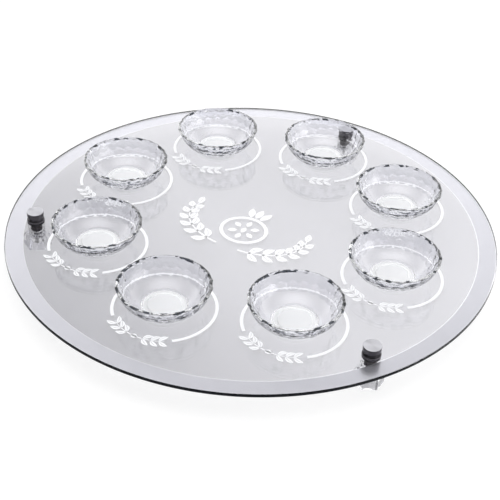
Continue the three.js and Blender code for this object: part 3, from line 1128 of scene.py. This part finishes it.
def map_turned(piece, outline, columns, loop=False):
    """UV for a lathe mesh: u is the share of the turn, and v the length along the outline in
    mm. A face's own corners are numbered from its column, so that the seam doesn't run back
    across the map."""
    length = length_along(outline, loop)
    first = int(outline[0, 0] < ON_AXIS)
    last = len(length) - int(outline[-1, 0] < ON_AXIS)
    column = np.arange(columns)
    around = np.stack([column, column + 1, column + 1, column], axis=-1) / columns
    maps = []

    def add_map(u, v):
        maps.append(np.stack([u, np.broadcast_to(v, u.shape)], axis=-1).reshape(-1, 2))

    for lower in range(first, last - 1):
        add_map(around, length[[lower, lower, lower + 1, lower + 1]])
    for is_pole, at, beside in ((first == 1, 0, first), (last < len(length), -1, last - 1)):
        if is_pole:
            order = [0.5, 1, 0] if at == 0 else [0.5, 0, 1]
            add_map(np.add.outer(column, order) / columns, length[[at, beside, beside]])
    uv = np.vstack(maps)
    layer = piece.data.uv_layers.new(name="turned")
    layer.uv.foreach_set("vector", uv.astype(np.float32).ravel())


print(f"round the test washer's section: {length_along(washer_section, loop=True)[-1]:.2f} mm")

# %% [markdown]
# The stud's thread is hidden while the stand-off is together, and shows when it is taken
# apart. The stud is a bar whose radius changes with height and angle: the thread's crests
# climb by one pitch in each turn. The insert has two turned grooves, which hold it in its
# glue, and the collar has one.

# %% A bar with a thread
def wave(phase):
    """A zigzag: 0 at each whole number of phase and 1 halfway between."""
    return 2 * np.abs(phase - np.floor(phase + 0.5))


def patterned_bar(radius_at, low, high, rows, columns, centre, chamfer):
    """A closed bar. radius_at(angle, height) gives its radius, in whole arrays."""
    angle = 2 * math.pi * np.arange(columns) / columns
    height = np.linspace(low, high, rows)[:, None]
    radius = radius_at(angle, height)
    from_end = np.minimum(height - low, high - height)
    radius = np.minimum(radius, radius.max() - chamfer + from_end)
    x = centre[0] + radius * np.cos(angle)
    y = centre[1] + radius * np.sin(angle)
    z = np.broadcast_to(height, x.shape)
    points = np.stack([x, y, z], axis=-1).reshape(-1, 3)
    faces = ring_quads(rows, columns).tolist()
    faces += fan(len(points), 0, columns, upwards=False).tolist()
    faces += fan(len(points) + 1, len(points) - columns, columns, upwards=True).tolist()
    ends = [[centre[0], centre[1], low], [centre[0], centre[1], high]]
    return np.vstack([points, ends]), faces


thread_crest, thread_depth, thread_pitch = 2.1, 0.36, 0.7


def stud_radius_at(angle, height):
    """A fine 4 mm thread: crest - depth * wave(height / pitch - share of the turn)."""
    return thread_crest - thread_depth * wave(height / thread_pitch - angle / (2 * math.pi))


print(f"thread: {stud_radius_at(0, thread_pitch / 2):.2f} to {stud_radius_at(0, 0):.2f} mm radius")

# %% Outlines of the turned pieces, in mm, from the axis or round a loop
stud_bore = 2.4
bore_top = cap_bottom + 5.8
flange_radius, waist_radius, lip_radius = 7.1, 5.4, 6.8
flange_top = cap_bottom + 2.0
waist_top = flange_top + 2.9
washer_radius, sleeve_radius = 6.95, 3.4
collar_radius, collar_groove_radius = 4.6, 4.3
insert_radius, insert_groove_radius = 3.6, 3.2
pad_radius, pad_height = 6.5, 1.0
round_soft = 0.12
cap_outline = soften(
    [
        [0, bore_top], [stud_bore, bore_top], [stud_bore, cap_bottom],
        [flange_radius, cap_bottom], [flange_radius, flange_top], [waist_radius, flange_top],
        [waist_radius, waist_top], [lip_radius, waist_top], [lip_radius, cap_top], [0, cap_top],
    ],
    [0.2, 0.2, 0.5, 0.6, 0.3, 0.3, 0.25, 0.35],
)
cap_washer_outline = soften(
    [
        [stud_bore, plate_top], [washer_radius, plate_top],
        [washer_radius, cap_bottom], [stud_bore, cap_bottom],
    ],
    0.2, loop=True,
)
sleeve_outline = soften(
    [
        [stud_bore, collar_top], [collar_radius, collar_top], [collar_radius, plate_bottom],
        [sleeve_radius, plate_bottom], [sleeve_radius, plate_top], [stud_bore, plate_top],
    ],
    round_soft, loop=True,
)
collar_outline = soften(
    [
        [stud_bore, collar_bottom], [collar_radius, collar_bottom],
        [collar_radius, collar_bottom + 1.5], [collar_groove_radius, collar_bottom + 1.7],
        [collar_groove_radius, collar_bottom + 2.1], [collar_radius, collar_bottom + 2.3],
        [collar_radius, collar_top], [stud_bore, collar_top],
    ],
    [0.15, 0.3, 0.1, 0.1, 0.1, 0.1, 0.3, 0.15], loop=True,
)
pad_outline = soften([[0, 0], [pad_radius, 0], [pad_radius, pad_height], [0, pad_height]], 0.3)
insert_bore_floor = insert_bottom + 1.0
insert_grooves = [
    corner
    for low in (insert_bottom + 2.4, insert_bottom + 6.4)
    for corner in (
        [insert_radius, low], [insert_groove_radius, low + 0.4],
        [insert_groove_radius, low + 1.4], [insert_radius, low + 1.8],
    )
]
insert_outline = soften(
    [
        [0, insert_bottom], [insert_radius, insert_bottom],
        *insert_grooves,
        [insert_radius, insert_top], [stud_bore, insert_top],
        [stud_bore, insert_bore_floor], [0, insert_bore_floor],
    ],
    round_soft,
)
print("cap outline:", len(cap_outline), "points")

# %% [markdown]
# The sides of pieces that touch are drawn in by a hair, 0.02 mm, because two clear faces in
# exactly the same place confuse a renderer about which of them it met first.

# %% Touching faces, parted by a hair
hair = 0.02


def shave(outline, top=hair, bottom=hair):
    """The outline with its highest points lowered and its lowest raised, in mm."""
    radii, heights = outline.T
    kept = np.clip(heights, heights.min() + bottom, heights.max() - top)
    return np.column_stack([radii, kept])


sleeve_outline = shave(sleeve_outline)
collar_outline = shave(collar_outline)
cap_washer_outline = shave(cap_washer_outline)
pad_outline = shave(pad_outline, bottom=0.0)
print("washer parted from cap and glass:", np.ptp(cap_washer_outline[:, 1]).round(2), "mm thick")

# %% [markdown]
# The crystal foot is a six-sided column that swells to a girdle. Its outline is the same
# for every side, only multiplied by the hexagon's own shape: 1 at a corner and cos 30
# degrees at the middle of a side. The corners are broken by a hair. The pocket for the
# insert is round.

# %% The crystal foot
girdle, neck = 11.6, 6.466
girdle_low, girdle_high, neck_low = crystal_bottom + 0.8, crystal_bottom + 6.8, crystal_top - 2
flare_turn = np.radians(np.linspace(0, 90, 19))
flare = np.column_stack(
    [
        neck + (girdle - neck) * np.cos(flare_turn),
        girdle_high + (neck_low - girdle_high) * np.sin(flare_turn),
    ]
)
foot_outline = np.vstack(
    [
        [[girdle - 0.8, crystal_bottom + hair], [girdle - 0.75, crystal_bottom + 0.07]],
        [[girdle - 0.06, girdle_low - 0.06], [girdle, girdle_low + 0.08]],
        flare,
        [[neck, crystal_top - 0.1], [neck - 0.1, crystal_top]],
    ]
)
pocket_radius, pocket_floor = 3.9, insert_bottom - 0.05
pocket_outline = np.array(
    [[pocket_radius + 0.1, crystal_top], [pocket_radius, crystal_top - 0.1]]
    + [[pocket_radius, pocket_floor + 0.2], [pocket_radius - 0.2, pocket_floor]]
)


def hexagon_points(corner_break=0.03):
    """Unit hexagon with broken corners, 8 points a side: each side's points go straight
    from just after one corner to just before the next."""
    corner = np.radians(60 * np.arange(6))
    here = np.stack([np.cos(corner), np.sin(corner)], axis=-1)[:, None, :]
    there = np.roll(here, -1, axis=0)
    share = np.linspace(corner_break, 1 - corner_break, 8)[None, :, None]
    return ((1 - share) * here + share * there).reshape(-1, 2)


def crystal_foot_mesh(centre, turn):
    """Hexagon rows outside and round rows in the pocket, joined across the top."""
    spin = np.array([[math.cos(turn), math.sin(turn)], [-math.sin(turn), math.cos(turn)]])
    section = hexagon_points() @ spin
    around = section / np.linalg.norm(section, axis=1, keepdims=True)
    outside = foot_outline[:, :1, None] * section[None]
    inside = pocket_outline[:, :1, None] * around[None]
    flat = np.concatenate([outside, inside]) + centre
    heights = np.concatenate([foot_outline[:, 1], pocket_outline[:, 1]])
    z = np.broadcast_to(heights[:, None, None], (*flat.shape[:2], 1))
    points = np.concatenate([flat, z], axis=-1).reshape(-1, 3)
    columns = len(section)
    faces = ring_quads(len(heights), columns).tolist()
    faces += fan(len(points), 0, columns, upwards=False).tolist()
    faces += fan(len(points) + 1, len(points) - columns, columns, upwards=True).tolist()
    ends = [[*centre, foot_outline[0, 1]], [*centre, pocket_floor]]
    return np.vstack([points, ends]), faces


print("crystal foot outline:", len(foot_outline), "rows,", len(hexagon_points()), "columns")

# %% All three stand-offs
round_columns = 64
stud_rows, stud_columns, stud_chamfer = 213, 40, 0.4
brushed_depth = 0.12  # the cap's faces are brushed down to this far below its top
turned = [
    ("cap", cap_outline, False, brushed_steel, "brushed_metal"),
    ("cap_washer", cap_washer_outline, True, black_rubber, "dark_rubber"),
    ("sleeve", sleeve_outline, True, dark_nylon, "dark_plastic"),
    ("collar", collar_outline, True, turned_steel, "turned_steel"),
    ("insert", insert_outline, False, turned_steel, "turned_steel"),
    ("pad", pad_outline, False, clear_silicone, "clear_silicone"),
]


def add_part(part, number, mesh, materials, slot):
    """A stand-off's piece, which stands for the solid of its own name."""
    nodes = [f"standoff_{number}_{part}"]
    return add_piece(f"{part}_{number}", *mesh, materials, "root", nodes, slot)


for number, (centre, turn) in enumerate(zip(standoff_centres, standoff_angles), start=1):
    for part, outline, loop, material, slot in turned:
        mesh = lathe(outline, round_columns, centre, turn, loop)
        materials = [side_steel_painted_dark, material] if part == "cap" else [material]
        piece = add_part(part, number, mesh, materials, slot)
        # The cap's side takes the steel painted dark, and its brushed top the light steel.
        if part == "cap":
            on_top = face_middles(piece)[:, 2] > cap_top - brushed_depth
            piece.data.polygons.foreach_set("material_index", on_top.astype(np.int32))
        if material in (brushed_steel, turned_steel):
            map_turned(piece, outline, round_columns, loop)
    mesh = patterned_bar(
        stud_radius_at, stud_bottom, stud_top, stud_rows, stud_columns, centre, stud_chamfer
    )
    add_part("stud", number, mesh, [turned_steel], "turned_steel")
    mesh = crystal_foot_mesh(centre, turn)
    piece = add_part("crystal_foot", number, mesh, [foot_crystal], "cut_crystal")
    piece.data.set_sharp_from_angle(angle=math.radians(20))
print("stand-offs:", number, "with", len(turned) + 2, "pieces each")

# %% [markdown]
# ## Floor, light and camera
#
# The object stands on a white floor under soft studio light. For the eye, and seen through
# or in the glass, the floor is a little self-lit, so that it stays white, while the other
# part of its brightness is real light and so keeps the object's shadow. Seen in or through
# the glass, the floor's glow is a painted pool of light: bright at the right, falling off to
# the left and the front, and a little dimmer at the back.

# %% The floor
view_turn = math.radians(29.345)
towards_viewer = (math.sin(view_turn), -math.cos(view_turn), 0.0)
to_the_right = (math.cos(view_turn), math.sin(view_turn), 0.0)
right_share, back_share = 0.862, 0.507  # to the right and 30.5 degrees towards the back
# The direction in which the floor's painted pool of light grows brighter.
painted_light_side = tuple(
    right_share * r - back_share * t for r, t in zip(to_the_right, towards_viewer)
)


def white_floor():
    """Matt white that keeps shadows. For camera, mirror and glass it also glows; in mirror and
    glass that glow is a painted pool of light, brighter at one side.
    """
    material, tree, place = new_material("studio_floor_white")
    path = add_node(tree, "ShaderNodeLightPath")
    seen = add_node(
        tree, "ShaderNodeMath", {"operation": "MAXIMUM"},
        links={0: path.outputs["Is Camera Ray"], 1: path.outputs["Is Glossy Ray"]},
    )
    seen = add_node(
        tree, "ShaderNodeMath", {"operation": "MAXIMUM"},
        links={0: seen.outputs[0], 1: path.outputs["Is Transmission Ray"]},
    )
    matt = add_node(tree, "ShaderNodeBsdfDiffuse", values={"Color": linear("#E8E8E8")})
    dim = add_node(tree, "ShaderNodeBsdfDiffuse", values={"Color": linear("#979797")})

    def slope(direction, start, end, low, high):
        """A value that goes from low to high between two places, start and end, in metres
        along a direction."""
        along = add_node(
            tree, "ShaderNodeVectorMath", {"operation": "DOT_PRODUCT"}, {1: direction}, {0: place}
        )
        return add_node(
            tree, "ShaderNodeMapRange", None, {1: start, 2: end, 3: low, 4: high},
            {0: along.outputs["Value"]},
        ).outputs[0]

    # The painted pool of light that mirror and glass see in the floor's glow.
    painted_light_pool = add_node(
        tree, "ShaderNodeMath", {"operation": "ADD"},
        links={
            0: slope(painted_light_side, start=-0.198, end=-0.016, low=0.533, high=1.067),
            1: slope(towards_viewer, start=-0.163, end=0.027, low=-0.177, high=0.0),
        },
    )
    strength = add_node(
        tree, "ShaderNodeMix", {"data_type": "FLOAT"}, {3: 0.74},
        {0: path.outputs["Is Camera Ray"], 2: painted_light_pool.outputs[0]},
    )
    glow = add_node(tree, "ShaderNodeEmission", links={"Strength": strength.outputs[0]})
    shown = add_node(tree, "ShaderNodeAddShader", links={0: dim.outputs[0], 1: glow.outputs[0]})
    both = add_node(
        tree, "ShaderNodeMixShader",
        links={0: seen.outputs[0], 1: matt.outputs[0], 2: shown.outputs[0]},
    )
    set_surface(tree, both)
    return material


floor_half = 1.6  # metres
floor_corners = [[floor_half * x, floor_half * y, 0] for x, y in ((-1, -1), (1, -1), (1, 1), (-1, 1))]
floor_mesh = bpy.data.meshes.new("floor")
floor_mesh.from_pydata(floor_corners, [], [[0, 1, 2, 3]])
floor_mesh.materials.append(white_floor())
floor = bpy.data.objects.new("floor", floor_mesh)
bpy.context.scene.collection.objects.link(floor)
print("floor:", 2 * floor_half, "m wide")

# %% [markdown]
# The room round the object is the world, which gives all the light. Its wall is white behind
# and beside the object, grey further up, and white again overhead, where it lights the white
# ink. It is dimmer where the viewer stands. Clear and polished things are drawn by such dim
# parts of the room: without them glass on white would hardly show. A dark card at the left
# and a bright one at the right shape the caps. The camera itself sees plain white.

# %% The room
world = bpy.data.worlds.new("studio_room")
bpy.context.scene.world = world
world.use_nodes = True
room = world.node_tree
room.nodes.clear()
direction = add_node(room, "ShaderNodeTexCoord").outputs["Generated"]


def facing(target):
    """How squarely a direction faces the target: 1 along it, -1 away from it."""
    return add_node(
        room, "ShaderNodeVectorMath", {"operation": "DOT_PRODUCT"}, {1: target}, {0: direction}
    ).outputs["Value"]


def greys_towards(target, stops):
    """The wall's greys, from straight away from the target, at 0, to straight at it, at 1.
    Each stop is a place from 0 to 1 and a linear grey."""
    share = add_node(
        room, "ShaderNodeMapRange", values={"From Min": -1.0, "From Max": 1.0},
        links={"Value": facing(target)},
    )
    ramp = add_node(room, "ShaderNodeValToRGB", links={0: share.outputs[0]})
    elements = ramp.color_ramp.elements
    for index, (place, value) in enumerate(stops):
        element = elements[index] if index < 2 else elements.new(place)
        element.position = place
        element.color = (value, value, value, 1)
    return ramp.outputs[0]


def hang_card(behind, grey, right, away, up, inner, outer):
    """Hangs a round card of one grey before what is behind it, in the given direction. The
    angles, in degrees from the card's middle, say where its soft edge begins and ends."""
    target = right * Vector(to_the_right) - away * Vector(towards_viewer) + Vector((0, 0, up))
    inside = add_node(
        room, "ShaderNodeMapRange", {"interpolation_type": "SMOOTHSTEP"},
        {1: math.cos(math.radians(outer)), 2: math.cos(math.radians(inner))},
        {0: facing(tuple(target.normalized()))},
    )
    return add_node(
        room, "ShaderNodeMix", {"data_type": "RGBA"},
        {7: (grey, grey, grey, 1)}, {0: inside.outputs[0], 6: behind},
    ).outputs[2]


by_height = greys_towards(
    (0, 0, 1), [(0.0, 1.1), (0.70, 1.25), (0.79, 0.78), (0.86, 0.40), (0.93, 0.7), (1.0, 1.8)]
)
by_front = greys_towards(
    towards_viewer, [(0.0, 1.0), (0.68, 1.0), (0.84, 0.45), (1.0, 0.35)]
)
wall_grey = add_node(
    room, "ShaderNodeMix", {"data_type": "RGBA", "blend_type": "MULTIPLY"},
    {0: 1.0}, {6: by_height, 7: by_front},
).outputs[2]
dark_left = hang_card(wall_grey, 0.05, right=-1.0, away=-0.1, up=0.2, inner=22, outer=34)
room_grey = hang_card(dark_left, 2.6, right=0.88, away=-0.2, up=0.44, inner=8, outer=20)
lit = add_node(room, "ShaderNodeBackground", values={"Strength": 1.35}, links={"Color": room_grey})
plain = add_node(room, "ShaderNodeBackground", values={"Color": (1, 1, 1, 1), "Strength": 1.0})
seen = add_node(
    room, "ShaderNodeMixShader",
    links={
        0: add_node(room, "ShaderNodeLightPath").outputs["Is Camera Ray"],
        1: lit.outputs[0], 2: plain.outputs[0],
    },
)
add_node(room, "ShaderNodeOutputWorld", links={"Surface": seen.outputs[0]})
print("room:", len(room.nodes), "nodes")

# %% [markdown]
# The camera is 0.89 m away from the plate's centre, 35 degrees above it, with a lens of
# 77 mm on film 36 mm wide, and is rolled by two degrees.

# %% The camera
camera_data = bpy.data.cameras.new("camera")
camera_data.sensor_width = 36.0
camera_data.lens = 77.44
camera = bpy.data.objects.new("camera", camera_data)
bpy.context.scene.collection.objects.link(camera)
bpy.context.scene.camera = camera
camera_place = Vector((356.56, -634.22, 506.04 + plate_top)) * MM
camera_aim = Vector((16.58, -30.76, plate_top)) * MM
roll = math.radians(2.263)
forward = (camera_aim - camera_place).normalized()
level_right = forward.cross(Vector((0, 0, 1))).normalized()
level_up = level_right.cross(forward)
right = level_right * math.cos(roll) + level_up * math.sin(roll)
up = level_up * math.cos(roll) - level_right * math.sin(roll)
turn = Matrix((right, up, -forward)).transposed()
camera.matrix_world = Matrix.Translation(camera_place) @ turn.to_4x4()
camera_data.clip_start, camera_data.clip_end = 0.01, 20.0
bpy.context.scene.view_settings.view_transform = "Standard"
print("camera at", [round(c, 3) for c in camera_place])
